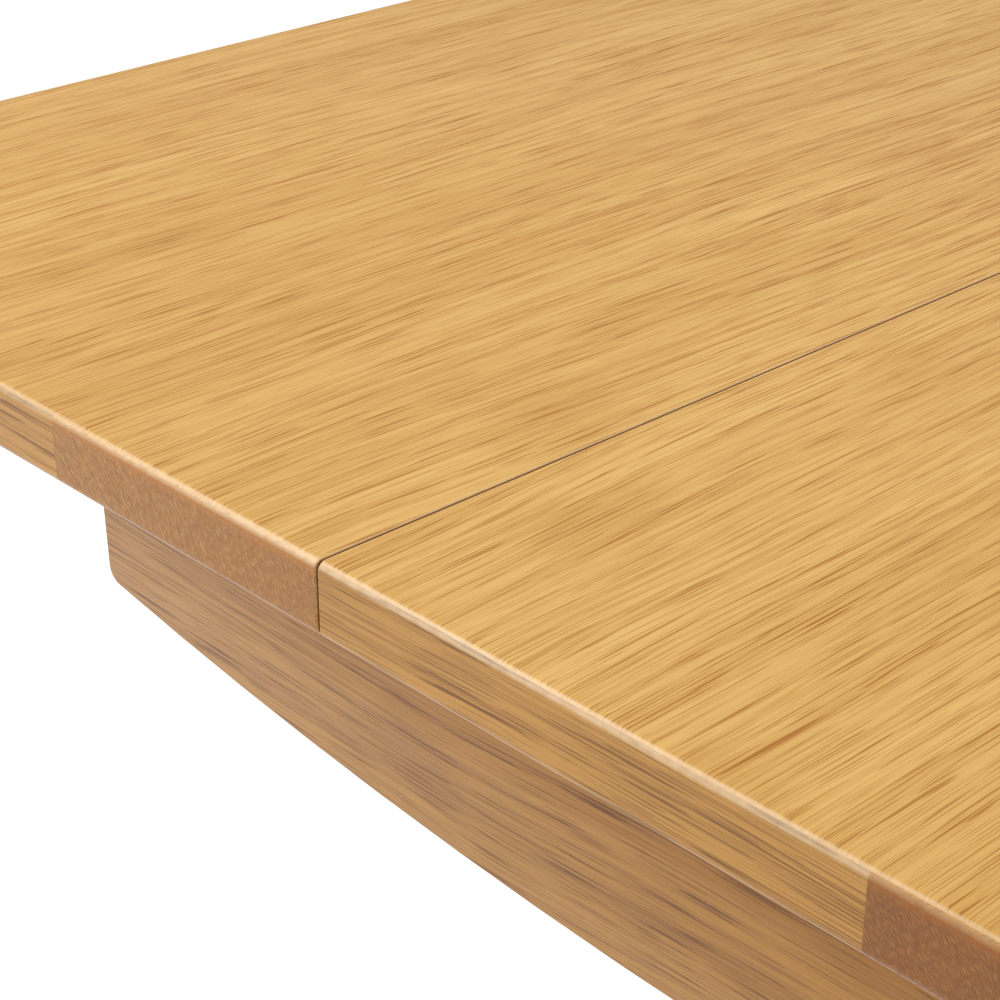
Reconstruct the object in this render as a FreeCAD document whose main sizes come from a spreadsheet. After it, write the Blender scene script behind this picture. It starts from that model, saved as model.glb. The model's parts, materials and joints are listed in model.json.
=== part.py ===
"""Extending dining table: one long sliding top, one drop-in leaf, twin-post trestle base.

The origin is on the floor, under the middle of the extended table. X runs along the table, from
the leaf's end (-X) to the main top's end (+X), Y across it, and Z up. All sizes are millimetres.
The model stands extended: the main top is slid along and the leaf lies in the space it left.
"""
import FreeCAD, Part
import math
import os
import re
import Sketcher
from FreeCAD import Placement, Rotation, Vector

# ---------------------------------------------------------------- driving sizes
SIZES = {
    # overall
    "main_length": (1200, "length of the main top, which is the closed table"),
    "leaf_length": (450, "length that the leaf adds"),
    "table_width": (800, "width across the table"),
    "table_height": (740, "floor to the top surface"),
    # tops
    "core_thick": (25, "core, staves and lippings"),
    "veneer_thick": (0.85, "face veneer, top and bottom"),
    "edge_round": (3.5, "round-over of the free edges"),
    "corner_round": (8, "corners in plan at the table's two ends"),
    "seam_gap": (0.8, "gap between leaf and main top"),
    "seam_round": (0.7, "eased outline of the two seam faces"),
    "lipping_depth": (20, "depth of the front, back and end lippings"),
    "stave_narrow": (55.8, "stave beside the leaf's seam"),
    "stave_wide": (85, "second stave of the leaf, and the main top's battens"),
    "batten_inset": (209.8, "main top's ends to its battens"),
    # fixed frame
    "rail_recess": (50, "side rails' faces inside the long edges"),
    "closed_overhang": (30.4, "closed top's end past the side rails' ends"),
    "rail_thick": (24, "side rail thickness"),
    "rail_depth": (103.2, "side rail depth along its straight middle"),
    "rail_flat": (501.8, "straight middle of the side rail's lower edge"),
    "sweep_radius": (1812, "radius of the swept-up ends of that edge"),
    "rail_undercut": (2.2, "how far the rail's end leans back"),
    "rail_corner": (7, "rounded lower corner of the rail's end"),
    "rail_gap": (1, "rails' top edges under the tops"),
    "end_setback": (20, "end rails inside the side rails' ends"),
    "end_rail_thick": (24, "end rail thickness"),
    "end_rail_height": (76, "end rail height"),
    "bearer_thick": (45, "cross bearer thickness"),
    "bearer_height": (60, "cross bearer height"),
    "guide_thick": (18, "guide beam thickness"),
    "guide_height": (38, "guide beam height"),
    "tongue_height": (10, "guide tongue height"),
    "tongue_depth": (7.5, "guide tongue depth"),
    "strip_margin": (1, "glide strip inside the guide's edges"),
    "strip_inset": (6, "glide strip short of the guide's ends"),
    "block_leg": (34, "corner block's legs"),
    "block_height": (30, "corner block's height"),
    # main top's runners
    "runner_thick": (30, "runner thickness"),
    "runner_height": (36, "runner height"),
    "runner_setback": (79.7, "runner's start behind the main top's seam face"),
    "top_overtravel": (40, "main top's travel past the extended place"),
    "stop_gap": (0.5, "runner to end rail at that limit"),
    "slide_clear": (0.4, "sideways clearance of the slides"),
    "tongue_clear": (0.5, "clearance of the tongue in its groove"),
    # lopers
    "loper_tail": (9.6, "loper past its stop pin"),
    "loper_thick": (24, "loper thickness"),
    "loper_height": (34, "loper height"),
    "loper_gap": (14, "space each side of a loper"),
    "loper_reach": (195, "lopers' ends past the side rails' ends"),
    "loper_clear": (0.3, "loper in its notch"),
    "pad_clear": (0.4, "loper pad under the leaf"),
    "pad_run": (40, "loper pad length"),
    "pin_stop_radius": (3, "loper stop pin radius"),
    "pin_stop_drop": (10, "stop pin below the loper"),
    "strap_thick": (2, "keeper strap thickness"),
    "strap_run": (25, "keeper strap width along the loper"),
    "strap_foot": (10, "keeper strap's feet"),
    # leaf pins, turn buttons
    "pin_radius": (4, "locating pin radius"),
    "pin_seat": (12, "pin length in the leaf"),
    "pin_drop": (18, "pin length below the leaf"),
    "pin_inset": (45, "guide pins from the leaf's seam face"),
    "pin_spread": (300, "distance between the end rail's two pins"),
    "fit_clear": (0.05, "radial running clearance"),
    "bush_wall": (2, "wall of the pin bushes"),
    "bush_length": (24, "length of the pin bushes"),
    "button_length": (80, "turn button length"),
    "button_wide": (22, "turn button width"),
    "button_thick": (4, "turn button thickness"),
    "button_gap": (0.6, "turn button under the tops"),
    "button_inset": (35, "turn button pivot from the main top's seam face"),
    "button_spread": (280, "distance between the two turn buttons"),
    "pivot_radius": (2.5, "turn button pivot radius"),
    "pivot_head": (5.5, "pivot screw head radius"),
    # trestles
    "trestle_spread": (600, "distance between the trestles"),
    "post_deep": (50, "post along the table"),
    "post_wide": (60, "post across the table"),
    "post_ease": (4, "eased edges of posts, feet and stretcher"),
    "tenon_long": (25, "tenon length"),
    "tenon_deep": (24, "tenon along the table"),
    "tenon_wide": (38, "tenon across the table"),
    "foot_length": (640, "foot across the table"),
    "foot_wide": (72, "foot along the table"),
    "foot_height": (50, "foot height at the posts"),
    "foot_tip": (26, "foot height at its tips"),
    "foot_level": (220, "level middle of the foot's top"),
    "foot_pad": (70, "length of the foot's bearing ends"),
    "foot_arch": (9, "hollow under the foot"),
    "glide_height": (5, "floor glide height"),
    "glide_radius": (14, "floor glide radius"),
    "glide_inset": (32, "floor glide from the foot's tip"),
    "stretcher_thick": (40, "stretcher thickness, and the gap between twin posts"),
    "stretcher_height": (84, "stretcher height"),
    "stretcher_level": (262, "height of the stretcher's middle"),
    "stretcher_tail": (34, "stretcher past the posts"),
    # hardware
    "bolt_radius": (4, "stretcher bolt radius"),
    "bolt_clear": (0.2, "stretcher bolt hole clearance"),
    "bolt_pitch": (40, "distance between the two bolts of a trestle"),
    "bolt_head": (9, "bolt and nut head radius"),
    "bolt_cap": (5, "bolt and nut head height"),
    "screw_radius": (2, "wood screw radius"),
    "screw_head": (4, "wood screw head radius"),
    "screw_cap": (2.6, "wood screw head height"),
    "screw_bite": (14, "wood screw length in the wood"),
    "runner_screw_seat": (16, "wood left above a runner screw's head"),
    "runner_screw_inset": (60, "outer runner screws from the runner's ends"),
    "bracket_leg": (30, "angle bracket leg"),
    "bracket_thick": (2.5, "angle bracket thickness"),
    "bracket_height": (36, "angle bracket height"),
}

doc = FreeCAD.newDocument("ExtendingTable")
sheet = doc.addObject("Spreadsheet::Sheet", "Sizes")
for row, (alias, (value, meaning)) in enumerate(SIZES.items(), start=1):
    sheet.set(f"A{row}", meaning)
    sheet.set(f"B{row}", str(value))
    sheet.setAlias(f"B{row}", alias)
doc.recompute()

NODES = []    # every finished sub-part, in the order it is made


# ---------------------------------------------------------------- helpers
def bind(thing, **values):
    """Bind properties to expressions written with the sheet's aliases."""
    for name, text in values.items():
        thing.setExpression(name.replace("__", "."), re.sub(r"[a-z][a-z_]+", r"Sizes.\g<0>", text))


def place(thing, x="0", y="0", z="0", turn=None):
    """Turn a piece and bind its position."""
    if turn is not None:
        thing.Placement = Placement(Vector(), turn)
    for axis, text in zip("xyz", (x, y, z)):
        bind(thing, **{f".Placement__Base__{axis}": text})
    return thing


def node(thing, label):
    """Name a finished sub-part; the label is also its file's name."""
    thing.Label = label
    NODES.append(thing)
    return thing


def block(name, x, y, z):
    """A box between pairs of expressions."""
    box = doc.addObject("Part::Box", name)
    for side, (low, high) in zip(("Length", "Width", "Height"), (x, y, z)):
        bind(box, **{side: f"({high}) - ({low})"})
    return place(box, x[0], y[0], z[0])


TURNS = {
    "+z": Rotation(),
    "-z": Rotation(Vector(1, 0, 0), 180),
    "+y": Rotation(Vector(1, 0, 0), -90),
    "-y": Rotation(Vector(1, 0, 0), 90),
    "+x": Rotation(Vector(0, 1, 0), 90),
    "-x": Rotation(Vector(0, 1, 0), -90),
}


def rod(name, radius, length, x, y, z, way="+z"):
    """A cylinder that starts at a point and runs one way."""
    cylinder = doc.addObject("Part::Cylinder", name)
    bind(cylinder, Radius=radius, Height=length)
    return place(cylinder, x, y, z, TURNS[way])


def cut(name, base, *tools):
    """The base with every tool taken out."""
    for count, tool in enumerate(tools):
        result = doc.addObject("Part::Cut", f"{name}_cut{count}")
        result.Base = base
        result.Tool = tool
        base = result
    return base


def fuse(name, *pieces):
    """Pieces made into one solid."""
    result = doc.addObject("Part::MultiFuse", f"{name}_whole")
    result.Shapes = list(pieces)
    return result


def group(name, pieces):
    """Separate solids kept in one sub-part."""
    result = doc.addObject("Part::Compound", f"{name}_group")
    result.Links = list(pieces)
    return result


def side_of(sign, low, high):
    """A pair of distances from the centre line, on the +Y side or mirrored to -Y."""
    return (low, high) if sign > 0 else (f"-({high})", f"-({low})")


def new_sketch(body, plane):
    """An empty sketch on one of a body's own origin planes."""
    sketch = body.newObject("Sketcher::SketchObject", f"{body.Name}_outline")
    origin_plane = [feature for feature in body.Origin.OriginFeatures if feature.Role == plane][0]
    sketch.AttachmentSupport = (origin_plane, "")
    sketch.MapMode = "FlatFace"
    return sketch


def name_size(sketch, constraint, name, text):
    """Add a dimension and bind it."""
    index = sketch.addConstraint(constraint)
    sketch.renameConstraint(index, name)
    bind(sketch, **{f"Constraints__{name}": text})


def outline(sketch, points):
    """A closed outline of straight lines through points given as pairs of expressions."""
    count = len(points)
    for index in range(count):
        # A rough start; the bound sizes then pull every corner to its place.
        start = Vector(10 * index, index * index, 0)
        end = Vector(10 * ((index + 1) % count), ((index + 1) % count) ** 2, 0)
        sketch.addGeometry(Part.LineSegment(start, end), False)
    for index in range(count):
        sketch.addConstraint(Sketcher.Constraint("Coincident", index, 2, (index + 1) % count, 1))
    for index, corner in enumerate(points):
        for kind, text in zip(("DistanceX", "DistanceY"), corner):
            if text == "0":
                axis = -2 if kind == "DistanceX" else -1
                sketch.addConstraint(Sketcher.Constraint("PointOnObject", index, 1, axis))
            else:
                name_size(sketch, Sketcher.Constraint(kind, index, 1, 1.0 + index), f"{kind}{index}", text)


def pad(body, sketch, length, symmetric=False):
    """Pad a body's sketch."""
    solid = body.newObject("PartDesign::Pad", f"{body.Name}_pad")
    solid.Profile = sketch
    if symmetric:
        solid.SideType = "Symmetric"
    bind(solid, Length=length)
    doc.recompute()
    return solid


def ease(body, feature, radius, wanted):
    """Fillet the edges of a body's feature that a test picks."""
    names = [f"Edge{number}" for number, edge in enumerate(feature.Shape.Edges, start=1) if wanted(edge)]
    rounded = body.newObject("PartDesign::Fillet", f"{body.Name}_round")
    rounded.Base = (feature, names)
    bind(rounded, Radius=radius)
    doc.recompute()
    return rounded


def runs_along(axis):
    """A test for straight edges parallel to an axis."""
    def test(edge):
        direction = edge.tangentAt(edge.FirstParameter)
        return isinstance(edge.Curve, Part.Line) and abs(getattr(direction, axis)) > 0.999
    return test


def board(name, x, y, z, along=None, radius="post_ease"):
    """A planed board between pairs of expressions, with the edges along one axis eased."""
    body = doc.addObject("PartDesign::Body", name)
    length, width = f"({x[1]}) - ({x[0]})", f"({y[1]}) - ({y[0]})"
    sketch = new_sketch(body, "XY_Plane")
    outline(sketch, [("0", "0"), (length, "0"), (length, width), ("0", width)])
    solid = pad(body, sketch, f"({z[1]}) - ({z[0]})")
    if along:
        ease(body, solid, radius, runs_along(along))
    return place(body, x[0], y[0], z[0])


# ---------------------------------------------------------------- places worked out from the sizes
MAIN_START = "((leaf_length + seam_gap - main_length) / 2)"
MAIN_END = f"({MAIN_START} + main_length)"
LEAF_END = f"({MAIN_START} - seam_gap)"
LEAF_START = f"({LEAF_END} - leaf_length)"
HALF_WIDTH = "(table_width / 2)"
TOP_THICK = "(core_thick + 2 * veneer_thick)"
UNDERSIDE = f"(table_height - {TOP_THICK})"
CORE_BOTTOM = f"({UNDERSIDE} + veneer_thick)"
CORE_TOP = "(table_height - veneer_thick)"

FRAME_TOP = f"({UNDERSIDE} - rail_gap)"
RAIL_END = "(main_length / 2 - closed_overhang)"
RAIL_INSIDE = f"({HALF_WIDTH} - rail_recess - rail_thick)"
END_RAIL_OUTSIDE = f"({RAIL_END} - end_setback)"
END_RAIL_INSIDE = f"({END_RAIL_OUTSIDE} - end_rail_thick)"
BEARER_TOP = f"({FRAME_TOP} - guide_height)"
BEARER_BOTTOM = f"({BEARER_TOP} - bearer_height)"

LOPER_OUTER = f"({RAIL_INSIDE} - loper_gap)"
LOPER_INNER = f"({LOPER_OUTER} - loper_thick)"
LOPER_BOTTOM = f"({BEARER_TOP} + loper_clear)"
LOPER_TOP = f"({LOPER_BOTTOM} + loper_height)"
RUNNER_OUTER = f"({LOPER_INNER} - loper_gap)"
RUNNER_INNER = f"({RUNNER_OUTER} - runner_thick)"
GUIDE_OUTER = f"({RUNNER_INNER} - slide_clear)"
GUIDE_INNER = f"({GUIDE_OUTER} - guide_thick)"
GUIDE_MIDDLE = f"({GUIDE_OUTER} - guide_thick / 2)"
TONGUE_BOTTOM = f"({BEARER_TOP} + (guide_height - tongue_height) / 2)"
TONGUE_TOP = f"({TONGUE_BOTTOM} + tongue_height)"

POST_INNER = "(stretcher_thick / 2)"
POST_OUTER = f"({POST_INNER} + post_wide)"
POST_MIDDLE = f"({POST_INNER} + post_wide / 2)"
FOOT_BOTTOM = "glide_height"
FOOT_TOP = f"({FOOT_BOTTOM} + foot_height)"

FRONT_BACK = (("front", -1), ("back", 1))
LEFT_RIGHT = (("left", -1), ("right", 1))


# ---------------------------------------------------------------- tops
def top_blank(name, start, end, free_end):
    """The whole glued-up outline of a top, from which its layers and staves are taken.

    The free end has rounded corners; the other end is the square seam face.
    """
    body = doc.addObject("PartDesign::Body", name)
    length = f"({end}) - ({start})"
    sketch = new_sketch(body, "XY_Plane")
    outline(sketch, [("0", "0"), (length, "0"), (length, "table_width"), ("0", "table_width")])
    slab = pad(body, sketch, TOP_THICK)
    middle = slab.Shape.BoundBox.Center

    def at_free_end(point):
        return (point.x - middle.x) * free_end > 0.49 * slab.Shape.BoundBox.XLength

    def free_corner(edge):
        return runs_along("z")(edge) and at_free_end(edge.CenterOfMass)

    def free_outline(edge):
        face_edge = abs(edge.BoundBox.ZLength) < 1e-6
        seam_edge = runs_along("y")(edge) and not at_free_end(edge.CenterOfMass)
        return face_edge and not seam_edge

    def seam_outline(edge):
        return runs_along("y")(edge) and not at_free_end(edge.CenterOfMass)

    cornered = ease(body, slab, "corner_round", free_corner)
    rounded = ease(body, cornered, "edge_round", free_outline)
    ease(body, rounded, "seam_round", seam_outline)
    return place(body, start, f"-{HALF_WIDTH}", UNDERSIDE)


def take(blank, label, x, y, z, *tools):
    """A layer, stave or lipping of a blank, labelled as a sub-part, with its holes."""
    piece = doc.addObject("Part::Common", f"{label}_piece")
    piece.Base = blank
    piece.Tool = block(f"{label}_space", x, y, z)
    return node(cut(label, piece, *tools), label)


FULL_WIDTH = (f"-{HALF_WIDTH}", HALF_WIDTH)
BETWEEN_LIPPINGS = (f"-({HALF_WIDTH} - lipping_depth)", f"{HALF_WIDTH} - lipping_depth")
CORE = (CORE_BOTTOM, CORE_TOP)


def lipping_strip(sign):
    return side_of(sign, f"{HALF_WIDTH} - lipping_depth", HALF_WIDTH)


# Main top: lipped core boards with a solid batten across it near each end.
main_blank = top_blank("MainBlank", MAIN_START, MAIN_END, 1)
BATTENS = {
    "left": (f"{MAIN_START} + batten_inset", f"{MAIN_START} + batten_inset + stave_wide"),
    "right": (f"{MAIN_END} - batten_inset - stave_wide", f"{MAIN_END} - batten_inset"),
}
MAIN_RUNS = {
    "seam": (MAIN_START, BATTENS["left"][0]),
    "middle": (BATTENS["left"][1], BATTENS["right"][0]),
    "end": (BATTENS["right"][1], MAIN_END),
}
MAIN_CORES = {
    "seam": (f"{MAIN_START} + lipping_depth", MAIN_RUNS["seam"][1]),
    "middle": MAIN_RUNS["middle"],
    "end": (MAIN_RUNS["end"][0], f"{MAIN_END} - lipping_depth"),
}
take(main_blank, "main_top_veneer", (MAIN_START, MAIN_END), FULL_WIDTH, (CORE_TOP, "table_height"))
take(main_blank, "main_backing_veneer", (MAIN_START, MAIN_END), FULL_WIDTH, (UNDERSIDE, CORE_BOTTOM))
for run, limits in MAIN_CORES.items():
    take(main_blank, f"main_{run}_core", limits, BETWEEN_LIPPINGS, CORE)
for end, limits in BATTENS.items():
    take(main_blank, f"main_{end}_batten", limits, FULL_WIDTH, CORE)
for edge, sign in FRONT_BACK:
    for run, limits in MAIN_RUNS.items():
        take(main_blank, f"main_{edge}_{run}_lipping", limits, lipping_strip(sign), CORE)
take(main_blank, "main_seam_face_lipping", (MAIN_START, f"{MAIN_START} + lipping_depth"),
     BETWEEN_LIPPINGS, CORE)
take(main_blank, "main_end_face_lipping", (f"{MAIN_END} - lipping_depth", MAIN_END),
     BETWEEN_LIPPINGS, CORE)

# Leaf: two solid staves along the seam, then a lipped core board. Four pins stand in its
# underside, two over the guide beams and two over the end rail.
PIN_PLACES = []
for _, sign in FRONT_BACK:
    PIN_PLACES.append((f"{LEAF_END} - pin_inset", f"{sign} * {GUIDE_MIDDLE}"))
    PIN_PLACES.append((f"-{END_RAIL_OUTSIDE} + end_rail_thick / 2", f"{sign} * pin_spread / 2"))


def pin_rods(name, radius, bottom, height):
    """A rod at each pin place."""
    return [rod(f"{name}{count}", radius, height, x, y, bottom)
            for count, (x, y) in enumerate(PIN_PLACES)]


leaf_blank = top_blank("LeafBlank", LEAF_START, LEAF_END, -1)
NARROW_START = f"{LEAF_END} - stave_narrow"
WIDE_START = f"{NARROW_START} - stave_wide"
pin_holes = pin_rods("LeafPinHole", "pin_radius", UNDERSIDE, "pin_seat")
take(leaf_blank, "leaf_top_veneer", (LEAF_START, LEAF_END), FULL_WIDTH, (CORE_TOP, "table_height"))
take(leaf_blank, "leaf_backing_veneer", (LEAF_START, LEAF_END), FULL_WIDTH, (UNDERSIDE, CORE_BOTTOM),
     *pin_holes)
take(leaf_blank, "leaf_narrow_stave", (NARROW_START, LEAF_END), FULL_WIDTH, CORE, *pin_holes)
take(leaf_blank, "leaf_wide_stave", (WIDE_START, NARROW_START), FULL_WIDTH, CORE)
take(leaf_blank, "leaf_core", (f"{LEAF_START} + lipping_depth", WIDE_START), BETWEEN_LIPPINGS, CORE,
     *pin_holes)
for edge, sign in FRONT_BACK:
    take(leaf_blank, f"leaf_{edge}_lipping", (LEAF_START, WIDE_START), lipping_strip(sign), CORE)
take(leaf_blank, "leaf_end_face_lipping", (LEAF_START, f"{LEAF_START} + lipping_depth"),
     BETWEEN_LIPPINGS, CORE)
node(group("leaf_pins", pin_rods("LeafPin", "pin_radius", f"{UNDERSIDE} - pin_drop",
                                 "pin_drop + pin_seat")), "leaf_pins")


# ---------------------------------------------------------------- side rails with swept-up ends
def side_rail(label, sign):
    """A rail that is straight along its middle and sweeps up to a free end each way."""
    body = doc.addObject("PartDesign::Body", f"{label}_body")
    sketch = new_sketch(body, "XZ_Plane")
    half, flat = sheet.main_length / 2 - sheet.closed_overhang, sheet.rail_flat / 2
    deep, radius, lean = sheet.rail_depth, sheet.sweep_radius, sheet.rail_undercut
    # A start near the answer; tangency, radius and the ends' places are constraints.
    angle = math.asin((half - lean - flat) / radius)
    lift = radius * (1 - math.cos(angle))
    down = 1.5 * math.pi
    right_low, left_low = Vector(flat, -deep, 0), Vector(-flat, -deep, 0)
    right_tip, left_tip = Vector(half - lean, -deep + lift, 0), Vector(lean - half, -deep + lift, 0)
    right_top, left_top = Vector(half, 0, 0), Vector(-half, 0, 0)
    centre = Vector(0, 0, 1)
    right_circle = Part.Circle(right_low + Vector(0, radius, 0), centre, radius)
    left_circle = Part.Circle(left_low + Vector(0, radius, 0), centre, radius)
    for piece in (
        Part.LineSegment(left_top, right_top),
        Part.LineSegment(right_top, right_tip),
        Part.ArcOfCircle(right_circle, down, down + angle),
        Part.LineSegment(right_low, left_low),
        Part.ArcOfCircle(left_circle, down - angle, down),
        Part.LineSegment(left_tip, left_top),
    ):
        sketch.addGeometry(piece, False)
    for rule in (
        ("Coincident", 0, 2, 1, 1),
        ("Coincident", 1, 2, 2, 2),
        ("Tangent", 2, 1, 3, 1),
        ("Tangent", 3, 2, 4, 2),
        ("Coincident", 4, 1, 5, 1),
        ("Coincident", 5, 2, 0, 1),
        ("PointOnObject", 0, 1, -1),
        ("Symmetric", 0, 1, 0, 2, -2),
        ("Symmetric", 3, 1, 3, 2, -2),
        ("Equal", 2, 4),
    ):
        sketch.addConstraint(Sketcher.Constraint(*rule))
    name_size(sketch, Sketcher.Constraint("DistanceX", 0, 1, 0, 2, 2 * half), "long", f"2 * {RAIL_END}")
    name_size(sketch, Sketcher.Constraint("DistanceX", 3, 2, 3, 1, 2 * flat), "level", "rail_flat")
    name_size(sketch, Sketcher.Constraint("DistanceY", 3, 1, 0, 2, deep), "deep", "rail_depth")
    name_size(sketch, Sketcher.Constraint("Radius", 2, radius), "sweep", "sweep_radius")
    name_size(sketch, Sketcher.Constraint("DistanceX", 0, 1, 4, 1, lean), "lean_left", "rail_undercut")
    name_size(sketch, Sketcher.Constraint("DistanceX", 2, 2, 0, 2, lean), "lean_right", "rail_undercut")
    solid = pad(body, sketch, "rail_thick", symmetric=True)

    def lower_corner(edge):
        return runs_along("y")(edge) and abs(edge.CenterOfMass.x) > flat + 1 and edge.CenterOfMass.z < -1

    ease(body, solid, "rail_corner", lower_corner)
    place(body, "0", f"{sign} * ({RAIL_INSIDE} + rail_thick / 2)", FRAME_TOP)
    node(body, label)


for edge, sign in FRONT_BACK:
    side_rail(f"{edge}_side_rail", sign)


# ---------------------------------------------------------------- end rails, bearers, guide beams
def bush_holes(name):
    return pin_rods(name, "pin_radius + fit_clear + bush_wall", f"{FRAME_TOP} - bush_length",
                    "bush_length")


BETWEEN_RAILS = (f"-{RAIL_INSIDE}", RAIL_INSIDE)
for end, way in LEFT_RIGHT:
    limits = side_of(way, END_RAIL_INSIDE, END_RAIL_OUTSIDE)
    rail = block(f"{end}_end_rail_stock", limits, BETWEEN_RAILS,
                 (f"{FRAME_TOP} - end_rail_height", FRAME_TOP))
    tools = []
    if end == "left":
        tools = [block(f"loper_notch_{edge}", limits,
                       side_of(sign, f"{LOPER_INNER} - loper_clear", f"{LOPER_OUTER} + loper_clear"),
                       (BEARER_TOP, FRAME_TOP)) for edge, sign in FRONT_BACK]
        tools += bush_holes("EndRailBushHole")
    node(cut(f"{end}_end_rail", rail, *tools), f"{end}_end_rail")

for edge, sign in FRONT_BACK:
    beam = fuse(f"{edge}_guide_beam",
                block(f"{edge}_guide_stock", (f"-{END_RAIL_INSIDE}", END_RAIL_INSIDE),
                      side_of(sign, GUIDE_INNER, GUIDE_OUTER), (BEARER_TOP, FRAME_TOP)),
                block(f"{edge}_guide_tongue", (f"-{END_RAIL_INSIDE}", END_RAIL_INSIDE),
                      side_of(sign, GUIDE_OUTER, f"{GUIDE_OUTER} + tongue_depth"),
                      (TONGUE_BOTTOM, TONGUE_TOP)))
    node(cut(f"{edge}_guide_beam", beam, *bush_holes(f"{edge}GuideBushHole")), f"{edge}_guide_beam")

strips = []
for edge, sign in FRONT_BACK:
    strip = block(f"{edge}_strip", (f"-{END_RAIL_INSIDE} + strip_inset", f"{END_RAIL_INSIDE} - strip_inset"),
                  side_of(sign, f"{GUIDE_INNER} + strip_margin", f"{GUIDE_OUTER} - strip_margin"),
                  (FRAME_TOP, UNDERSIDE))
    strips.append(cut(f"{edge}_strip", strip, *pin_rods(f"{edge}StripHole", "pin_radius + bush_wall",
                                                       FRAME_TOP, "rail_gap")))
node(group("glide_strips", strips), "glide_strips")

bushes = []
for count, (x, y) in enumerate(PIN_PLACES):
    bottom = f"{FRAME_TOP} - bush_length"
    sleeve = rod(f"BushOutside{count}", "pin_radius + fit_clear + bush_wall", "bush_length", x, y, bottom)
    bore = rod(f"BushBore{count}", "pin_radius + fit_clear", "bush_length", x, y, bottom)
    bushes.append(cut(f"bush{count}", sleeve, bore))
node(group("pin_bushes", bushes), "pin_bushes")


def post_tenon(name, way, sign, bottom):
    """The space of one tenon, which is also its mortise."""
    middle = f"{way} * trestle_spread / 2"
    return block(name, (f"{middle} - tenon_deep / 2", f"{middle} + tenon_deep / 2"),
                 side_of(sign, f"{POST_MIDDLE} - tenon_wide / 2", f"{POST_MIDDLE} + tenon_wide / 2"),
                 (bottom, f"{bottom} + tenon_long"))


def along_trestle(way, thickness):
    middle = f"{way} * trestle_spread / 2"
    return (f"{middle} - {thickness} / 2", f"{middle} + {thickness} / 2")


for end, way in LEFT_RIGHT:
    bearer = block(f"{end}_bearer_stock", along_trestle(way, "bearer_thick"), BETWEEN_RAILS,
                   (BEARER_BOTTOM, BEARER_TOP))
    mortises = [post_tenon(f"{end}_{edge}_bearer_mortise", way, sign, BEARER_BOTTOM)
                for edge, sign in FRONT_BACK]
    node(cut(f"{end}_cross_bearer", bearer, *mortises), f"{end}_cross_bearer")

blocks = []
for end, way in LEFT_RIGHT:
    for edge, sign in FRONT_BACK:
        body = doc.addObject("PartDesign::Body", f"{end}_{edge}_block")
        sketch = new_sketch(body, "XY_Plane")
        outline(sketch, [(f"{way} * {END_RAIL_INSIDE}", f"{sign} * {RAIL_INSIDE}"),
                         (f"{way} * ({END_RAIL_INSIDE} - block_leg)", f"{sign} * {RAIL_INSIDE}"),
                         (f"{way} * {END_RAIL_INSIDE}", f"{sign} * ({RAIL_INSIDE} - block_leg)")])
        pad(body, sketch, "block_height")
        blocks.append(place(body, z=f"{FRAME_TOP} - end_rail_height"))
node(group("corner_blocks", blocks), "corner_blocks")


# ---------------------------------------------------------------- main top's runners and their screws
RUNNER_END = f"({END_RAIL_INSIDE} - top_overtravel - stop_gap)"
RUNNER_START = f"({MAIN_START} + runner_setback)"
RUNNER_SPAN = (RUNNER_START, RUNNER_END)
SCREW_PLACES = (f"{RUNNER_START} + runner_screw_inset", f"({RUNNER_START} + {RUNNER_END}) / 2",
                f"{RUNNER_END} - runner_screw_inset")
runner_screws = []
for edge, sign in FRONT_BACK:
    beam = block(f"{edge}_runner_stock", RUNNER_SPAN, side_of(sign, RUNNER_INNER, RUNNER_OUTER),
                 (f"{UNDERSIDE} - runner_height", UNDERSIDE))
    tools = [block(f"{edge}_runner_groove", RUNNER_SPAN,
                   side_of(sign, RUNNER_INNER, f"{RUNNER_INNER} + tongue_depth"),
                   (f"{TONGUE_BOTTOM} - tongue_clear", f"{TONGUE_TOP} + tongue_clear"))]
    for count, x in enumerate(SCREW_PLACES):
        y = f"{sign} * ({RUNNER_OUTER} - (runner_thick - tongue_depth) / 2)"
        seat = f"{UNDERSIDE} - runner_screw_seat"
        tools.append(rod(f"{edge}_runner_well{count}", "screw_head + bolt_clear", "runner_height",
                         x, y, seat, "-z"))
        tools.append(rod(f"{edge}_runner_hole{count}", "screw_radius + fit_clear",
                         "runner_screw_seat", x, y, seat))
        shank = rod(f"{edge}_runner_shank{count}", "screw_radius", "runner_screw_seat + screw_bite",
                    x, y, seat)
        head = rod(f"{edge}_runner_head{count}", "screw_head", "screw_cap", x, y, seat, "-z")
        runner_screws.append(fuse(f"{edge}_runner_screw{count}", shank, head))
    node(cut(f"{edge}_top_runner", beam, *tools), f"{edge}_top_runner")
node(group("runner_screws", runner_screws), "runner_screws")

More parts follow.
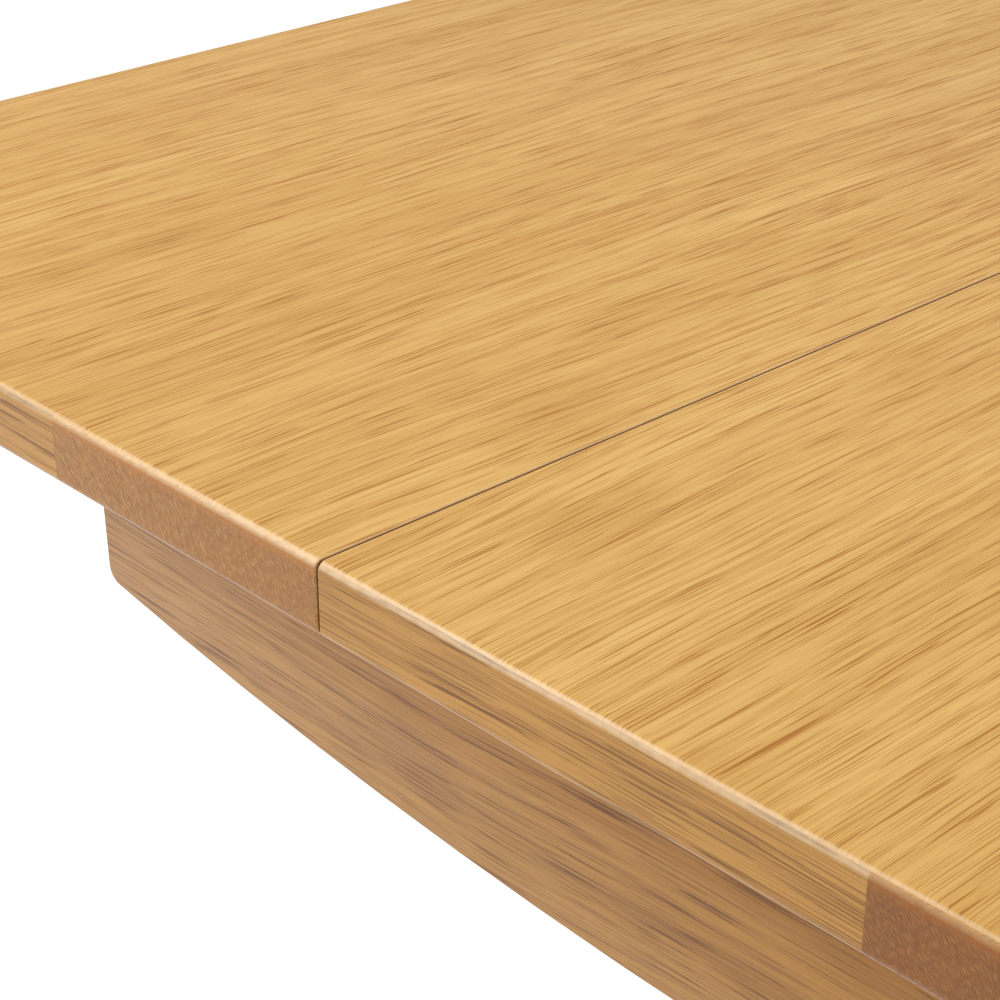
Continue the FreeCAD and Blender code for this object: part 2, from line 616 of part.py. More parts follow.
# ---------------------------------------------------------------- lopers that carry the leaf
LOPER_START = f"(-({RAIL_END} + loper_reach))"
BEARER_INSIDE = "(-trestle_spread / 2 + bearer_thick / 2)"
STOP_X = f"({BEARER_INSIDE} + pin_stop_radius + loper_clear)"
LOPER_END = f"({STOP_X} + loper_tail)"
for edge, sign in FRONT_BACK:
    across = side_of(sign, LOPER_INNER, LOPER_OUTER)
    middle = f"{sign} * ({LOPER_INNER} + loper_thick / 2)"
    beam = board(f"{edge}_loper_stock", (LOPER_START, LOPER_END), across, (LOPER_BOTTOM, LOPER_TOP),
                 along="x", radius="edge_round")
    hole = rod(f"{edge}_loper_stop_hole", "pin_stop_radius", "loper_height", STOP_X, middle, LOPER_BOTTOM)
    node(cut(f"{edge}_loper", beam, hole), f"{edge}_loper")
    pin = rod(f"{edge}_loper_stop_rod", "pin_stop_radius", "loper_height + pin_stop_drop",
              STOP_X, middle, f"{LOPER_BOTTOM} - pin_stop_drop")
    node(pin, f"{edge}_loper_stop_pin")
    pad_block = block(f"{edge}_loper_pad_block",
                      (f"{LOPER_START} + edge_round", f"{LOPER_START} + edge_round + pad_run"),
                      side_of(sign, f"{LOPER_INNER} + edge_round", f"{LOPER_OUTER} - edge_round"),
                      (LOPER_TOP, f"{UNDERSIDE} - pad_clear"))
    node(pad_block, f"{edge}_loper_pad")


# ---------------------------------------------------------------- keepers, brackets and frame screws
def wood_screw(name, x, y, z, way, plate):
    """A pan-head screw whose head sits at a point, over a plate of some thickness."""
    back = {"-z": "+z", "+x": "-x", "-x": "+x", "+y": "-y", "-y": "+y"}[way]
    head = rod(f"{name}_head", "screw_head", "screw_cap", x, y, z, back)
    shank = rod(f"{name}_shank", "screw_radius", f"screw_bite + {plate}", x, y, z, way)
    return fuse(name, head, shank)


frame_screws = []
keepers = []
for edge, sign in FRONT_BACK:
    body = doc.addObject("PartDesign::Body", f"{edge}_keeper")
    sketch = new_sketch(body, "YZ_Plane")
    inside_low, inside_high = "-(loper_thick / 2 + slide_clear)", "(loper_thick / 2 + slide_clear)"
    roof = "(loper_clear + loper_height + slide_clear)"
    outline(sketch, [
        (f"{inside_low} - strap_thick - strap_foot", "0"),
        (inside_low, "0"),
        (inside_low, roof),
        (inside_high, roof),
        (inside_high, "0"),
        (f"{inside_high} + strap_thick + strap_foot", "0"),
        (f"{inside_high} + strap_thick + strap_foot", "strap_thick"),
        (f"{inside_high} + strap_thick", "strap_thick"),
        (f"{inside_high} + strap_thick", f"{roof} + strap_thick"),
        (f"{inside_low} - strap_thick", f"{roof} + strap_thick"),
        (f"{inside_low} - strap_thick", "strap_thick"),
        (f"{inside_low} - strap_thick - strap_foot", "strap_thick"),
    ])
    pad(body, sketch, "strap_run", symmetric=True)
    middle = f"{sign} * ({LOPER_INNER} + loper_thick / 2)"
    place(body, "-trestle_spread / 2", middle, BEARER_TOP)
    holes = []
    for foot in (-1, 1):
        y = f"{middle} + {foot} * (loper_thick / 2 + slide_clear + strap_thick + strap_foot / 2)"
        z = f"{BEARER_TOP} + strap_thick"
        name = f"{edge}_keeper{foot + 1}"
        holes.append(rod(f"{name}_hole", "screw_radius", "strap_thick", "-trestle_spread / 2", y, BEARER_TOP))
        frame_screws.append(wood_screw(f"{name}_screw", "-trestle_spread / 2", y, z, "-z", "strap_thick"))
    keepers.append(cut(f"{edge}_keeper", body, *holes))
node(group("loper_keepers", keepers), "loper_keepers")

brackets = []
for end, way in LEFT_RIGHT:
    for edge, sign in FRONT_BACK:
        name = f"{end}_{edge}_bracket"
        body = doc.addObject("PartDesign::Body", name)
        sketch = new_sketch(body, "XY_Plane")
        face_x = f"{way} * (trestle_spread / 2 - bearer_thick / 2)"
        far_x = f"{way} * (trestle_spread / 2 - bearer_thick / 2 - bracket_leg)"
        web_x = f"{way} * (trestle_spread / 2 - bearer_thick / 2 - bracket_thick)"
        face_y = f"{sign} * {RAIL_INSIDE}"
        far_y = f"{sign} * ({RAIL_INSIDE} - bracket_leg)"
        web_y = f"{sign} * ({RAIL_INSIDE} - bracket_thick)"
        outline(sketch, [(face_x, face_y), (face_x, far_y), (web_x, far_y),
                         (web_x, web_y), (far_x, web_y), (far_x, face_y)])
        pad(body, sketch, "bracket_height")
        bottom = f"{BEARER_BOTTOM} + (bearer_height - bracket_height) / 2"
        level = f"{BEARER_BOTTOM} + bearer_height / 2"
        place(body, z=bottom)
        y = f"{sign} * ({RAIL_INSIDE} - bracket_leg / 2)"
        x = f"{way} * (trestle_spread / 2 - bearer_thick / 2 - bracket_leg / 2)"
        outward_x, outward_y = ("+x" if way > 0 else "-x"), ("+y" if sign > 0 else "-y")
        holes = [rod(f"{name}_hole_x", "screw_radius", "bracket_thick", web_x, y, level, outward_x),
                 rod(f"{name}_hole_y", "screw_radius", "bracket_thick", x, web_y, level, outward_y)]
        frame_screws.append(wood_screw(f"{name}_screw_x", web_x, y, level, outward_x, "bracket_thick"))
        frame_screws.append(wood_screw(f"{name}_screw_y", x, web_y, level, outward_y, "bracket_thick"))
        brackets.append(cut(name, body, *holes))
node(group("bearer_brackets", brackets), "bearer_brackets")
node(group("frame_screws", frame_screws), "frame_screws")

# ---------------------------------------------------------------- turn buttons under the seam
pivots = []
BUTTON_TOP = f"({UNDERSIDE} - button_gap)"
PIVOT_X = f"({MAIN_START} + button_inset)"
for edge, sign in FRONT_BACK:
    y = f"{sign} * button_spread / 2"
    heel, toe = PIVOT_X, f"{PIVOT_X} - button_length + button_wide"
    bottom = f"{BUTTON_TOP} - button_thick"
    bar = fuse(f"{edge}_button",
               block(f"{edge}_button_bar", (toe, heel), (f"{y} - button_wide / 2", f"{y} + button_wide / 2"),
                     (bottom, BUTTON_TOP)),
               rod(f"{edge}_button_heel", "button_wide / 2", "button_thick", heel, y, bottom),
               rod(f"{edge}_button_toe", "button_wide / 2", "button_thick", toe, y, bottom))
    bore = rod(f"{edge}_button_bore", "pivot_radius + fit_clear", "button_thick", heel, y, bottom)
    node(cut(f"{edge}_turn_button", bar, bore), f"{edge}_turn_button")
    collar = rod(f"{edge}_pivot_collar", "pivot_head", "button_gap - fit_clear", PIVOT_X, y, UNDERSIDE, "-z")
    shank = rod(f"{edge}_pivot_shank", "pivot_radius",
                "screw_bite + button_gap + button_thick + fit_clear", PIVOT_X, y,
                f"{UNDERSIDE} + screw_bite", "-z")
    head = rod(f"{edge}_pivot_head", "pivot_head", "screw_cap", PIVOT_X, y, f"{bottom} - fit_clear", "-z")
    pivots.append(fuse(f"{edge}_pivot", collar, shank, head))
node(group("button_pivots", pivots), "button_pivots")

# ---------------------------------------------------------------- trestles
BOLT_LEVELS = ("stretcher_level - bolt_pitch / 2", "stretcher_level + bolt_pitch / 2")


def bolt_holes(name, way):
    """Holes for a trestle's two bolts, right through both posts and the stretcher."""
    return [rod(f"{name}_{count}", "bolt_radius + bolt_clear", f"2 * {POST_OUTER}",
                f"{way} * trestle_spread / 2", f"-{POST_OUTER}", level, "+y")
            for count, level in enumerate(BOLT_LEVELS)]


glides = []
bolts = []
for end, way in LEFT_RIGHT:
    for edge, sign in FRONT_BACK:
        name = f"{end}_{edge}_post"
        stock = board(f"{name}_stock", along_trestle(way, "post_deep"), side_of(sign, POST_INNER, POST_OUTER),
                      (FOOT_TOP, BEARER_BOTTOM), along="z")
        upper = post_tenon(f"{name}_upper_tenon", way, sign, BEARER_BOTTOM)
        lower = post_tenon(f"{name}_lower_tenon", way, sign, f"{FOOT_TOP} - tenon_long")
        node(cut(name, fuse(name, stock, upper, lower), *bolt_holes(f"{name}_bolt_hole", way)), name)
        glides.append(rod(f"{name}_glide", "glide_radius", "glide_height", f"{way} * trestle_spread / 2",
                          f"{sign} * (foot_length / 2 - glide_inset)", "0"))

    body = doc.addObject("PartDesign::Body", f"{end}_foot_body")
    sketch = new_sketch(body, "YZ_Plane")
    half_outline = [("foot_length / 2 - foot_pad - foot_arch", "foot_arch"),
                    ("foot_length / 2 - foot_pad", "0"), ("foot_length / 2", "0"),
                    ("foot_length / 2", "foot_tip"), ("foot_level / 2", "foot_height")]
    outline(sketch, half_outline + [(f"-({y})", z) for y, z in reversed(half_outline)])
    solid = pad(body, sketch, "foot_wide", symmetric=True)
    high = solid.Shape.BoundBox.ZMax - sheet.foot_height + 2 * sheet.foot_arch

    def upper_edge(edge):
        return edge.BoundBox.ZMax > high and edge.BoundBox.XLength < 1e-6 and edge.BoundBox.YLength > 1e-6

    ease(body, solid, "post_ease", upper_edge)
    place(body, f"{way} * trestle_spread / 2", "0", FOOT_BOTTOM)
    mortises = [post_tenon(f"{end}_{edge}_foot_mortise", way, sign, f"{FOOT_TOP} - tenon_long")
                for edge, sign in FRONT_BACK]
    node(cut(f"{end}_foot", body, *mortises), f"{end}_foot")

    for count, level in enumerate(BOLT_LEVELS):
        x = f"{way} * trestle_spread / 2"
        name = f"{end}_bolt{count}"
        shank = rod(f"{name}_shank", "bolt_radius", f"2 * {POST_OUTER}", x, f"-{POST_OUTER}", level, "+y")
        head = rod(f"{name}_head", "bolt_head", "bolt_cap", x, f"-{POST_OUTER}", level, "-y")
        nut = rod(f"{name}_nut", "bolt_head", "bolt_cap", x, POST_OUTER, level, "+y")
        bolts.append(fuse(name, shank, head, nut))

STRETCHER_END = "(trestle_spread / 2 + post_deep / 2 + stretcher_tail)"
stretcher = board("stretcher_stock", (f"-{STRETCHER_END}", STRETCHER_END), (f"-{POST_INNER}", POST_INNER),
                  ("stretcher_level - stretcher_height / 2", "stretcher_level + stretcher_height / 2"),
                  along="x")
node(cut("stretcher", stretcher, *bolt_holes("stretcher_left_hole", -1),
         *bolt_holes("stretcher_right_hole", 1)), "stretcher")
node(group("stretcher_bolts", bolts), "stretcher_bolts")
node(group("floor_glides", glides), "floor_glides")

# ---------------------------------------------------------------- check and write
doc.recompute()
for thing in doc.Objects:
    if {"Invalid", "Error"} & set(thing.State):
        raise SystemExit(f"{thing.Label} failed: {thing.State}")
os.makedirs("parts", exist_ok=True)
for piece in NODES:
    shape = piece.Shape
    if shape.isNull() or not shape.isValid() or not shape.Solids:
        raise SystemExit(f"{piece.Label} has no sound solid")
    shape.exportStep(f"parts/{piece.Label}.step")
print(f"{len(NODES)} sub-parts written")
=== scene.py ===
# %% [markdown]
# # An extending oak dining table
#
# The table stands extended: a long main top has slid along its frame, and a leaf lies in the space
# that it left. The packed design gives every piece its shape and place, and this file gives each
# piece its finish: lacquered oak whose grain runs the right way on every board, waxed beech slides,
# zinc-plated hardware, nylon and felt. It needs nothing but the frame.

# %% Load the frame
import json
import math
import random

import bmesh
import bpy
from mathutils import Matrix, Vector


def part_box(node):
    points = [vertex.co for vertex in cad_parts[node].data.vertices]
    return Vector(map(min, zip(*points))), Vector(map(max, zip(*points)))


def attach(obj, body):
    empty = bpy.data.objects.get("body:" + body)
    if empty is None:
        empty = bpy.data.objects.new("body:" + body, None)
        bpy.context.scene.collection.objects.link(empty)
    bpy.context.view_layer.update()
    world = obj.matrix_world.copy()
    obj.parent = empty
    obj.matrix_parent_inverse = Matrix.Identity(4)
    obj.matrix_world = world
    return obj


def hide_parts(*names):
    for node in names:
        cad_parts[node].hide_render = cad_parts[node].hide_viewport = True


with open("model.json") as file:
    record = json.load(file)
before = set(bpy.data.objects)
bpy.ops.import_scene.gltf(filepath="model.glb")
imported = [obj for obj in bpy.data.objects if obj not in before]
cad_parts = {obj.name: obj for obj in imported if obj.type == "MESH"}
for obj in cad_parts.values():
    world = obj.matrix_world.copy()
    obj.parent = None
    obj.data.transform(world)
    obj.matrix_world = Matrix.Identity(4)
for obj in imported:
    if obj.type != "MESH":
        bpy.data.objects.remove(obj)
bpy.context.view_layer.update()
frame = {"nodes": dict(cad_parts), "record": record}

scene = bpy.context.scene
nodes = frame["nodes"]
MM = 0.001
BODY_OF = {node: body for body, members in frame["record"]["behaviour"]["bodies"].items()
           for node in members}
SLOT_OF = {row["node"]: row["material_slot"] for row in frame["record"]["subparts"]}
print(len(nodes), "sub-parts loaded")

# %% [markdown]
# ## Where the eye stands
#
# The view is a close one, down over the long edge at the seam between leaf and main top. The
# boards' thickness is the one size that can be judged by eye there, so the camera's place is given
# as so many thicknesses from the leaf's front corner at the seam. A long lens keeps the edges calm.

# %% Camera
leaf_low, leaf_high = (Vector(corner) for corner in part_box("leaf_narrow_stave"))
top_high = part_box("leaf_top_veneer")[1][2]
top_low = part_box("leaf_backing_veneer")[0][2]
thickness = top_high - top_low
seam_corner = Vector((leaf_high.x, leaf_low.y, top_high))

EYE = Vector((18.2485, -14.2078, 12.6719))          # in thicknesses from the seam corner
RIGHT = Vector((0.68250, 0.73088, 0.0))
DOWN = Vector((0.33548, -0.31328, -0.88843))
FORWARD = Vector((-0.64934, 0.60636, -0.45901))
LENS_MM = 84.70
SENSOR_MM = 36.0

camera = bpy.data.objects.new("camera", bpy.data.cameras.new("camera"))
scene.collection.objects.link(camera)
turn = Matrix((RIGHT, -DOWN, -FORWARD)).transposed().to_4x4()
camera.matrix_world = Matrix.Translation(seam_corner + EYE * thickness) @ turn
camera.data.lens = LENS_MM
camera.data.sensor_width = SENSOR_MM
camera.data.clip_start = 0.01
camera.data.clip_end = 60.0
scene.camera = camera
print("camera at", tuple(round(value, 3) for value in camera.location))

# %% [markdown]
# ## Floor and room
#
# Oak for a catalogue stands in a big white room on one pale sheet. The room could be modelled, but
# an even glow from all round does the same work. To the eye the room is plain white. What it sheds
# on the wood is dimmer, so that the boxes below can shape the table.

# %% Floor and room
FLOOR_SIZE = 14.0
ROOM_LIGHT = 0.36

bpy.ops.object.select_all(action="DESELECT")
bpy.ops.mesh.primitive_plane_add(size=FLOOR_SIZE, location=(0, 0, 0))
floor = bpy.context.object
floor.name = "studio_floor"

room = bpy.data.worlds.new("studio")
room.use_nodes = True
wall = room.node_tree.nodes["Background"]
wall.inputs["Color"].default_value = (1.0, 1.0, 1.0, 1)
seen = room.node_tree.nodes.new("ShaderNodeLightPath")
shine = room.node_tree.nodes.new("ShaderNodeMapRange")
shine.inputs["To Min"].default_value = ROOM_LIGHT
shine.inputs["To Max"].default_value = 1.0
room.node_tree.links.new(seen.outputs["Is Camera Ray"], shine.inputs["Value"])
room.node_tree.links.new(shine.outputs[0], wall.inputs["Strength"])
scene.world = room
scene.view_settings.view_transform = "Standard"
print("a floor of", FLOOR_SIZE, "m in a room that sheds", ROOM_LIGHT)

# %% [markdown]
# ## Soft boxes
#
# A bare bulb would throw hard shadows and a small glare. A wide box overhead makes the top brighter
# than the edges with no hard shadow, and a long strip beyond the leaf's end, a little in front,
# draws the pale line along the rounded front edge.

# %% Soft boxes
def soft_box(name, place, aim, size, long_way, watts, tint):
    """A rectangular lamp at a place, facing a point, with its long side turned to a direction."""
    lamp = bpy.data.lights.new(name, "AREA")
    lamp.shape = "RECTANGLE"
    lamp.size, lamp.size_y = size
    lamp.energy = watts
    lamp.color = tint
    holder = bpy.data.objects.new(name, lamp)
    scene.collection.objects.link(holder)
    back = (Vector(place) - Vector(aim)).normalized()
    long_way = (Vector(long_way) - Vector(long_way).dot(back) * back).normalized()
    turn = Matrix((long_way.cross(back), long_way, back)).transposed().to_4x4()
    holder.matrix_world = Matrix.Translation(place) @ turn
    print(name, "of", size, "m gives", watts, "W")


soft_box("overhead_box", place=(1.05, 1.5, 2.75), aim=(0, 0, 0.7), size=(1.8, 2.4),
         long_way=(1, 0, 0), watts=40, tint=(1.0, 0.985, 0.95))
soft_box("front_strip", place=(-2.35, -1.85, 2.6), aim=(-0.35, -0.4, 0.74), size=(1.15, 4.0),
         long_way=(0, 0.8, 0.6), watts=108, tint=(1.0, 0.965, 0.93))

# %% [markdown]
# ## A small kit for building materials
#
# Materials are graphs of nodes. They could be wired one socket at a time, but a few helpers keep the
# recipes short enough to read: one adds a node and fills its inputs, by value or by a link, and the
# others do arithmetic, noise, fades and mixes.

# %% Node helpers
class Recipe:
    """A material's node tree, with short ways to add to it."""

    def __init__(self, name):
        self.material = bpy.data.materials.new(name)
        self.material.use_nodes = True
        self.tree = self.material.node_tree
        self.shader = self.tree.nodes["Principled BSDF"]

    def feed(self, socket, value):
        """Set an input, or link it where the value is another node's output."""
        if isinstance(value, bpy.types.NodeSocket):
            self.tree.links.new(value, socket)
        else:
            socket.default_value = value

    def add(self, kind, settings=None, **inputs):
        """A new node, with its settings, and its inputs by name."""
        node = self.tree.nodes.new(kind)
        for key, value in (settings or {}).items():
            setattr(node, key, value)
        for key, value in inputs.items():
            self.feed(node.inputs[key.replace("_", " ")], value)
        return node

    def sum(self, operation, *values):
        node = self.add("ShaderNodeMath", {"operation": operation})
        for socket, value in zip(node.inputs, values):
            self.feed(socket, value)
        return node.outputs[0]

    def vector(self, operation, *values):
        node = self.add("ShaderNodeVectorMath", {"operation": operation})
        for socket, value in zip(node.inputs, values):
            self.feed(socket, value)
        return node.outputs["Value" if operation == "LENGTH" else "Vector"]

    def part(self, whole, axis):
        """One part of a vector: 0 for X, 1 for Y or 2 for Z."""
        return self.add("ShaderNodeSeparateXYZ", None, Vector=whole).outputs[axis]

    def noise(self, place, stretch, detail=2.0, rough=0.5):
        """Soft noise between 0 and 1, stretched along each axis by its own cycles per millimetre."""
        spot = self.vector("MULTIPLY", place, stretch)
        node = self.add("ShaderNodeTexNoise", None, Vector=spot, Scale=1.0, Detail=detail,
                        Roughness=rough)
        return node.outputs[0]

    def fade(self, value, low, high, start=0.0, end=1.0):
        """A value's rise from low to high, smoothly, as a number from start to end."""
        node = self.add("ShaderNodeMapRange", {"interpolation_type": "SMOOTHSTEP"},
                        Value=value, From_Min=low, From_Max=high, To_Min=start, To_Max=end)
        return node.outputs[0]

    def mix(self, factor, first, second, blend="MIX"):
        """Two colours mixed. The node's colours are its inputs 6 and 7, and its output 2."""
        node = self.add("ShaderNodeMix", {"data_type": "RGBA", "blend_type": blend})
        for index, value in ((0, factor), (6, first), (7, second)):
            self.feed(node.inputs[index], (*value, 1.0) if isinstance(value, tuple) else value)
        return node.outputs[2]

    def bump(self, height, strength, depth_mm):
        """Feed the shader's normal from a height, with the bump's strength and depth."""
        node = self.add("ShaderNodeBump", None, Height=height)
        node.inputs["Strength"].default_value = strength
        node.inputs["Distance"].default_value = depth_mm * MM
        self.feed(self.shader.inputs["Normal"], node.outputs[0])


print("recipe helpers:", ", ".join(name for name in vars(Recipe) if not name.startswith("_")))

# %% [markdown]
# ## Oak
#
# Oak could be painted flat, or worked out as solid wood: rings round a pith line that lies outside
# the board, rays that run out from it, and pores along the grain. The solid way is used, because the
# same recipe then gives long streaks on a face, arcs and fine rays where a board is cut across, and
# the two always agree at the corner. Each board has its own pith and shift, so no two are alike.

# %% Colours of honey oak
HONEY = {
    "pale": (0.760, 0.470, 0.150),
    "deep": (0.560, 0.285, 0.060),
    "pore": (0.365, 0.128, 0.010),
    "cross": (0.275, 0.104, 0.013),
    "burnt": (0.440, 0.165, 0.020),
}
PLAIN_TONE = (1.0, 1.0, 1.0)
dice = random.Random(7)
print("honey oak has", ", ".join(HONEY))

# %% [markdown]
# ## Where a board lay in its log
#
# Each point of a board is given its place in the tree: how far out from the pith, how far along, and
# how far round. Straight rings would look like ruled lines. A log is never quite straight, so its
# grain sways slowly and trembles finely as it runs.

# %% A place in the log
GRAIN_TURN = {"y": (0, 0, 0), "x": (0, 0, math.pi / 2), "z": (math.pi / 2, 0, 0)}
SHIFT_MM = 900
SWAY_MM = 26
TREMBLE_MM = 1.1


def wander(recipe, place, stretch, reach):
    """A soft push across the grain, at most half the reach each way."""
    drift = recipe.add("ShaderNodeTexNoise", None, Vector=recipe.vector("MULTIPLY", place, stretch),
                       Scale=1.0, Detail=2.0).outputs["Color"]
    return recipe.vector("MULTIPLY", recipe.vector("SUBTRACT", drift, (0.5, 0.5, 0.5)),
                         (reach, 0, reach))


def log_places(recipe, spot, grain, pith, figured):
    """The board's own millimetres with the grain along Y, and the same point in the log."""
    board_mm = recipe.add("ShaderNodeMapping", None, Vector=spot, Rotation=GRAIN_TURN[grain],
                          Scale=(1 / MM, 1 / MM, 1 / MM)).outputs[0]
    shift = tuple(dice.uniform(-SHIFT_MM, SHIFT_MM) for _ in range(3))
    place = recipe.vector("ADD", board_mm, shift)
    sway = wander(recipe, place, (0.006, 0.0022, 0.006), SWAY_MM * figured)
    tremble = wander(recipe, place, (0.05, 0.012, 0.05), TREMBLE_MM)
    bent = recipe.vector("ADD", recipe.vector("ADD", place, sway), tremble)

    heart = (shift[0] + pith[0], shift[1], shift[2] + pith[1])
    from_pith = recipe.vector("SUBTRACT", bent, heart)
    across, along, deep = (recipe.part(from_pith, axis) for axis in range(3))
    spoke = recipe.add("ShaderNodeCombineXYZ", None, X=across, Z=deep).outputs[0]
    arc = recipe.sum("MULTIPLY", recipe.sum("ARCTAN2", deep, across), math.hypot(*pith))
    in_log = recipe.add("ShaderNodeCombineXYZ", None, X=recipe.vector("LENGTH", spoke), Y=along,
                        Z=arc).outputs[0]
    return place, recipe.vector("ADD", in_log, shift)


print("the grain sways", SWAY_MM, "mm and trembles", TREMBLE_MM, "mm")

# %% [markdown]
# ## The figure of the wood
#
# Oak's figure is several things at once: broad bands, yearly rings, dark streaks, open pores, fine
# fibres and rays. One noise can't hold them all, so each has its own, drawn out along the grain by
# its own amount. Pores sit thickest in the early wood of a ring.

# %% Noises of the figure
FIGURE = {       # cycles per mm out from the pith, along the grain and round the log, detail, roughness
    "bands": ((0.030, 0.0012, 0.004), 2.0, 0.5),
    "streaks": ((1.05, 0.009, 0.05), 1.0, 0.6),
    "pores": ((2.10, 0.026, 0.10), 1.0, 0.5),
    "fibres": ((3.6, 0.07, 0.5), 1.0, 0.5),
    "rays": ((0.09, 0.22, 2.1), 1.0, 0.5),
    "ray_lines": ((0.34, 0.3, 1.9), 1.0, 0.6),
    "vessels": ((2.3, 0.01, 1.1), 2.0, 0.7),
}


def wood_figure(recipe, place, in_log, ring_mm):
    """The noises by name, with the early wood and the pores worked out from them."""
    figure = {name: recipe.noise(in_log, *field) for name, field in FIGURE.items()}
    figure["blotches"] = recipe.noise(place, (0.020, 0.010, 0.020), 2.0)
    rings = recipe.noise(in_log, (1 / ring_mm, 0.0022, 0.006), 2.0, 0.55)
    figure["early"] = recipe.fade(rings, 0.42, 0.62)
    figure["pores"] = recipe.sum("MULTIPLY", recipe.fade(figure["pores"], 0.55, 0.62),
                                 recipe.fade(rings, 0.36, 0.60, 0.45, 1.0))
    return figure


def fill_rim(recipe, figure, normal):
    """Lacquer fills the grain on a rounded rim, so pores and fibres fade off the flat."""
    flat = recipe.fade(recipe.sum("ABSOLUTE", recipe.part(normal, 2)), 0.80, 0.98, 0.12, 1.0)
    for name in ("pores", "fibres"):
        figure[name] = recipe.sum("MULTIPLY", figure[name], flat)


print(len(FIGURE), "noises in oak's figure")

# %% [markdown]
# ## Along the grain and across it
#
# A face along the grain is pale wood, deepened by its bands, early rings, streaks and blotches, with
# lighter rays and dark pores over them. Where the saw cut across the grain the wood drinks more
# finish, and one colour for both would hide the joinery. The cut ends are brown, with short lines
# along the rays, and burnt on the turn where the moulding cutter ran.

# %% Face and cut-end colours
OVER_PALE = (("early", 0.0, 1.0, 0.34, "deep"), ("streaks", 0.52, 0.59, 0.44, "deep"),
             ("blotches", 0.55, 0.72, 0.38, "deep"), ("rays", 0.62, 0.78, 0.14, "pale"))
OVER_CUT = (("early", 0.0, 1.0, 0.30, "pore"), ("vessels", 0.50, 0.64, 0.38, "pore"),
            ("ray_lines", 0.52, 0.64, 0.42, "pale"))
BURNT_RAGGED = 1.5 * MM
BURNT_FADE = 2.4 * MM


def lay_over(recipe, colour, figure, colours, layers):
    """Mix colours over a colour, each as far as its noise has risen between two levels."""
    for name, low, high, most, tint in layers:
        colour = recipe.mix(recipe.fade(figure[name], low, high, 0.0, most), colour, colours[tint])
    return colour


def face_colour(recipe, figure, colours, strength, pores):
    """The wood along its grain."""
    banding = recipe.fade(figure["bands"], 0.30, 0.72, 0.0, 0.36 * strength)
    colour = recipe.mix(banding, colours["pale"], colours["deep"])
    colour = lay_over(recipe, colour, figure, colours, OVER_PALE)
    colour = recipe.mix(recipe.sum("MULTIPLY", figure["pores"], 0.80 * pores), colour, colours["pore"])
    thread = recipe.mix(figure["fibres"], (0.25, 0.25, 0.25), (0.78, 0.78, 0.78))
    return recipe.mix(0.30, colour, thread, "OVERLAY")


def cut_colour(recipe, figure, colours, level, burnt_from):
    """The wood cut across, burnt from a level upwards where one is given."""
    colour = lay_over(recipe, colours["cross"], figure, colours, OVER_CUT)
    if burnt_from is None:
        return colour
    ragged = recipe.sum("MULTIPLY", recipe.sum("SUBTRACT", figure["streaks"], 0.5), BURNT_RAGGED)
    burn = recipe.fade(recipe.sum("ADD", level, ragged), burnt_from, burnt_from + BURNT_FADE, 0.0, 0.60)
    return recipe.mix(burn, colour, colours["burnt"])


print("layers over a face:", len(OVER_PALE), "and over a cut end:", len(OVER_CUT))

# %% [markdown]
# ## Painted highlight on the rim, painted shade in the seam and on the rails
#
# A flawless board looks moulded. The upper rounded rim is painted paler than the faces beside
# it, a painted highlight. The square faces at the seam are painted dark, painted shade for the
# slit between the boards. A side rail is painted duller towards its top, painted shade under the
# overhanging boards. Each is a tint by place or by the way that the surface faces.

# %% Painted rim highlight, painted seam shade and painted rail shade
SEAM_MIDDLE = (leaf_high.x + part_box("main_top_veneer")[0][0]) / 2
# Painted highlight colour for the upper rounded rim.
RIM_HIGHLIGHT_COLOUR = (0.900, 0.720, 0.470)
# Painted shade colour for the faces in the seam slit.
SEAM_SHADE_COLOUR = (0.240, 0.090, 0.025)
# Painted shade tint for a side rail's upper part, under the overhanging top.
RAIL_SHADE_TINT = (0.80, 0.72, 0.70)
SEAM_SHADE_REACH = (0.5 * MM, 0.9 * MM)
RAIL_SHADE_DEPTH = 85 * MM


def paint_rim_highlight(recipe, colour, place, up, highlight_strength):
    """A painted highlight: paler colour where the surface leans, but neither upright nor flat."""
    rim = recipe.sum("MULTIPLY", recipe.fade(up, 0.10, 0.45), recipe.fade(up, 0.88, 0.985, 1.0, 0.0))
    patchy = recipe.fade(recipe.noise(place, (0.25, 0.25, 0.25), 3.0, 0.6), 0.30, 0.62, 0.70, 1.0)
    return recipe.mix(recipe.sum("MULTIPLY", recipe.sum("MULTIPLY", rim, patchy), highlight_strength), colour,
                      RIM_HIGHLIGHT_COLOUR)


def paint_seam_shade(recipe, colour, run, sideways):
    """Painted shade: dark colour on the faces that look at each other across the seam."""
    off_seam = recipe.sum("ABSOLUTE", recipe.sum("SUBTRACT", run, SEAM_MIDDLE))
    slit_shade = recipe.sum("MULTIPLY", recipe.fade(off_seam, *SEAM_SHADE_REACH, 1.0, 0.0),
                      recipe.fade(recipe.sum("ABSOLUTE", sideways), 0.75, 0.98, 0.0, 0.8))
    return recipe.mix(slit_shade, colour, SEAM_SHADE_COLOUR)


def paint_shade_below(recipe, colour, level, shade_from):
    """Painted shade: duller colour up to a level, over the shade's depth."""
    painted_shade = recipe.fade(level, shade_from - RAIL_SHADE_DEPTH, shade_from, 0.0, 1.0)
    return recipe.mix(painted_shade, colour, recipe.mix(1.0, colour, RAIL_SHADE_TINT, "MULTIPLY"))


print("the seam's middle is at x =", round(SEAM_MIDDLE, 4))

# %% [markdown]
# ## Lacquered oak
#
# The recipe joins the steps above and puts a satin lacquer over them. The lacquer could be a second
# shell of mesh, but the shader's own coat does it. It is thin, so the pores still show in it as
# small hollows and rougher spots.

# %% Oak recipe
SATIN = {"IOR": 1.45, "Specular IOR Level": 0.25, "Coat Weight": 0.40, "Coat Roughness": 0.25,
         "Coat IOR": 1.45}
PORE_DEPTH_MM = 0.07


